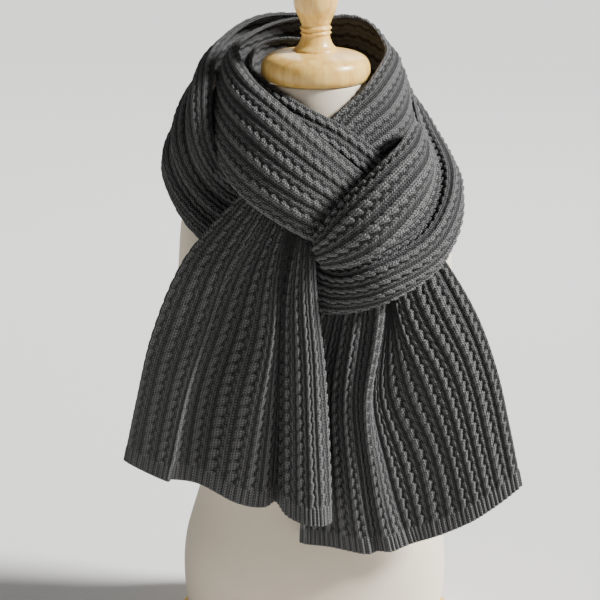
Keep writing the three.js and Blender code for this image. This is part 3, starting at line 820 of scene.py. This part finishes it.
def floor_finish(colours):
    """Pale studio floor paper, matt."""
    material, tree, shader = new_finish("Pale floor paper")
    place_of = add(tree, "ShaderNodeTexCoord").outputs["Object"]
    # clouds about 1.7 m wide, a little darker
    soft = add(tree, "ShaderNodeTexNoise", {"Vector": place_of, "Scale": 0.6}).outputs["Fac"]
    light, dark = (*colours.floor, 1), (*[0.95 * c for c in colours.floor], 1)
    colour = add(tree, "ShaderNodeMix", {0: soft, 6: light, 7: dark}, data_type="RGBA").outputs[2]
    tree.links.new(colour, shader.inputs["Base Color"])
    shader.inputs["Roughness"].default_value = 0.9
    return material


def cloth_piece(name, grid, stretch, sizes, colours, hem):
    """Makes one stretch of the scarf as a piece, with hem millimetres of fine ribbing at its end."""
    wool = bpy.data.materials.get(WOOL) or wool_finish(colours)  # made once, for the first piece
    mesh = cloth_mesh(name, grid, stretch, sizes, hem)
    piece = place(name + "_knit", mesh, wool, name)


def rows_for(points, sizes):
    """How many grid steps a line through points takes."""
    length = np.linalg.norm(np.diff(points, axis=0), axis=-1).sum() * MM
    return int(round(length / sizes.grid))


class SCARF_OT_wound(bpy.types.Operator):
    """Build the six stretches that are wound round the neck and through the knot"""

    bl_idname = "scarf.wound"
    bl_label = "Wound stretches"

    def execute(self, context):
        sizes, colours = context.scene.scarf_sizes, context.scene.scarf_colours
        for name, stretch in WOUND.items():
            line = through(stretch["stations"], np.linspace(0, 1, LENGTH_POINTS))
            steps = rows_for(line[:, :3], sizes)
            grid = wound_surface(stretch, steps, stretch["ribs"] * COLUMNS_PER_RIB)
            cloth_piece(name, grid, stretch, sizes, colours, NO_HEM)
        return {"FINISHED"}


class SCARF_OT_hanging(bpy.types.Operator):
    """Build the two ends that hang in front"""

    bl_idname = "scarf.hanging"
    bl_label = "Hanging ends"

    def execute(self, context):
        sizes, colours = context.scene.scarf_sizes, context.scene.scarf_colours
        for name, end in HANGING.items():
            line = through(end["sections"], np.linspace(0, 1, LENGTH_POINTS))
            steps = rows_for((line[:, :3] + line[:, 3:6]) / 2, sizes)
            grid = hanging_surface(end, steps, end["ribs"] * COLUMNS_PER_RIB)
            cloth_piece(name, grid, end, sizes, colours, sizes.hem / MM)
        return {"FINISHED"}


class SCARF_OT_form(bpy.types.Operator):
    """Build the dress form's covered body"""

    bl_idname = "scarf.form"
    bl_label = "Dress form"

    def execute(self, context):
        rows = through(FORM, np.linspace(0, 1, FORM_RINGS))
        rings = ovals(*rows.T, FORM_SIDES)
        cover = cover_finish(context.scene.scarf_colours)
        ringed_piece("form_body_cover", rings, cover, "form_body")
        return {"FINISHED"}


class SCARF_OT_cap(bpy.types.Operator):
    """Turn the wooden neck cap with its finial"""

    bl_idname = "scarf.cap"
    bl_label = "Neck cap"

    def execute(self, context):
        rows = through(CAP, np.linspace(0, 1, CAP_RINGS * (len(CAP) - 1) + 1))
        r, z = rows.T
        rings = ovals(z, r, -r, r, np.full(len(r), ROUND), CAP_SIDES)
        wood = wood_finish("Turned beech, varnished", context.scene.scarf_colours, 2, 0.35)
        ringed_piece("neck_cap_turned", rings, wood, "neck_cap")
        return {"FINISHED"}


class SCARF_OT_board(bpy.types.Operator):
    """Build the wooden base board with its rounded edge"""

    bl_idname = "scarf.board"
    bl_label = "Base board"

    def execute(self, context):
        inset, z = np.array(BOARD, float).T
        half_width, front, back, squareness = BOARD_OVAL
        power = np.full(len(z), squareness)
        rings = ovals(z, half_width - inset, front + inset, back - inset, power, BOARD_SIDES)
        wood = wood_finish("Planed beech, varnished", context.scene.scarf_colours, 0, 0.4)
        ringed_piece("base_board_planed", rings, wood, "base_board")
        return {"FINISHED"}


class SCARF_OT_stage(bpy.types.Operator):
    """Set the floor, the camera and the soft studio light"""

    bl_idname = "scarf.stage"
    bl_label = "Stage"

    def execute(self, context):
        scene = context.scene
        r, z = FLOOR_REACH, FLOOR_Z
        mesh = bpy.data.meshes.new("floor")
        mesh.from_pydata([(-r, -r, z), (r, -r, z), (r, r, z), (-r, r, z)], [], [(0, 1, 2, 3)])
        floor = bpy.data.objects.new("floor", mesh)
        scene.collection.objects.link(floor)
        floor.data.materials.append(floor_finish(scene.scarf_colours))

        target = Vector(CAMERA_TARGET) * MM
        tilt = math.radians(CAMERA_TILT)
        back = Vector((0, -math.cos(tilt), math.sin(tilt)))
        lens = bpy.data.cameras.new("camera")
        lens.sensor_width = SENSOR_WIDTH
        lens.lens = SENSOR_WIDTH * FOCAL_PIXELS / PICTURE_PIXELS
        camera = bpy.data.objects.new("camera", lens)
        camera.location = target + back * CAMERA_BACK
        camera.rotation_euler = (math.radians(90) - tilt, 0, 0)
        scene.collection.objects.link(camera)
        scene.camera = camera

        for name, kind, at, size, power in LIGHTS:
            light = bpy.data.lights.new(name, kind)
            light.energy = power
            setattr(light, "angle" if kind == "SUN" else "size", size)
            lamp = bpy.data.objects.new(name, light)
            lamp.location = at
            lamp.rotation_euler = (Vector(LIGHTS_AIM) - Vector(at)).to_track_quat("-Z", "Y").to_euler()
            scene.collection.objects.link(lamp)
        world = bpy.data.worlds.new("studio")
        world.use_nodes = True
        background = world.node_tree.nodes["Background"]
        background.inputs["Color"].default_value = linear(ROOM_COLOUR)
        background.inputs["Strength"].default_value = ROOM_STRENGTH
        scene.world = world
        return {"FINISHED"}


class SCARF_PT_panel(bpy.types.Panel):
    """Lists the sizes, colours and pieces"""

    bl_label = "Knit scarf"
    bl_idname = "SCARF_PT_panel"
    bl_space_type = "VIEW_3D"
    bl_region_type = "UI"
    bl_category = "Scarf"

    def draw(self, context):
        for group in (context.scene.scarf_sizes, context.scene.scarf_colours):
            for name in group.bl_rna.properties.keys():
                if name not in ("rna_type", "name"):
                    self.layout.prop(group, name)
        for piece in PIECES:
            self.layout.operator(piece.bl_idname)


PIECES = (SCARF_OT_wound, SCARF_OT_hanging, SCARF_OT_form, SCARF_OT_cap, SCARF_OT_board, SCARF_OT_stage)
CLASSES = (ScarfSizes, ScarfColours, *PIECES, SCARF_PT_panel)


def register():
    """Adds the classes, and the sizes and colours to every scene."""
    for c in CLASSES:
        bpy.utils.register_class(c)
    bpy.types.Scene.scarf_sizes = bpy.props.PointerProperty(type=ScarfSizes)
    bpy.types.Scene.scarf_colours = bpy.props.PointerProperty(type=ScarfColours)


def unregister():
    """Takes away what register added."""
    del bpy.types.Scene.scarf_sizes
    del bpy.types.Scene.scarf_colours
    for c in reversed(CLASSES):
        bpy.utils.unregister_class(c)


def main():
    register()
    bpy.ops.scarf.wound()
    bpy.ops.scarf.hanging()
    bpy.ops.scarf.form()
    bpy.ops.scarf.cap()
    bpy.ops.scarf.board()
    bpy.ops.scarf.stage()


if __name__ == "__main__":
    main()
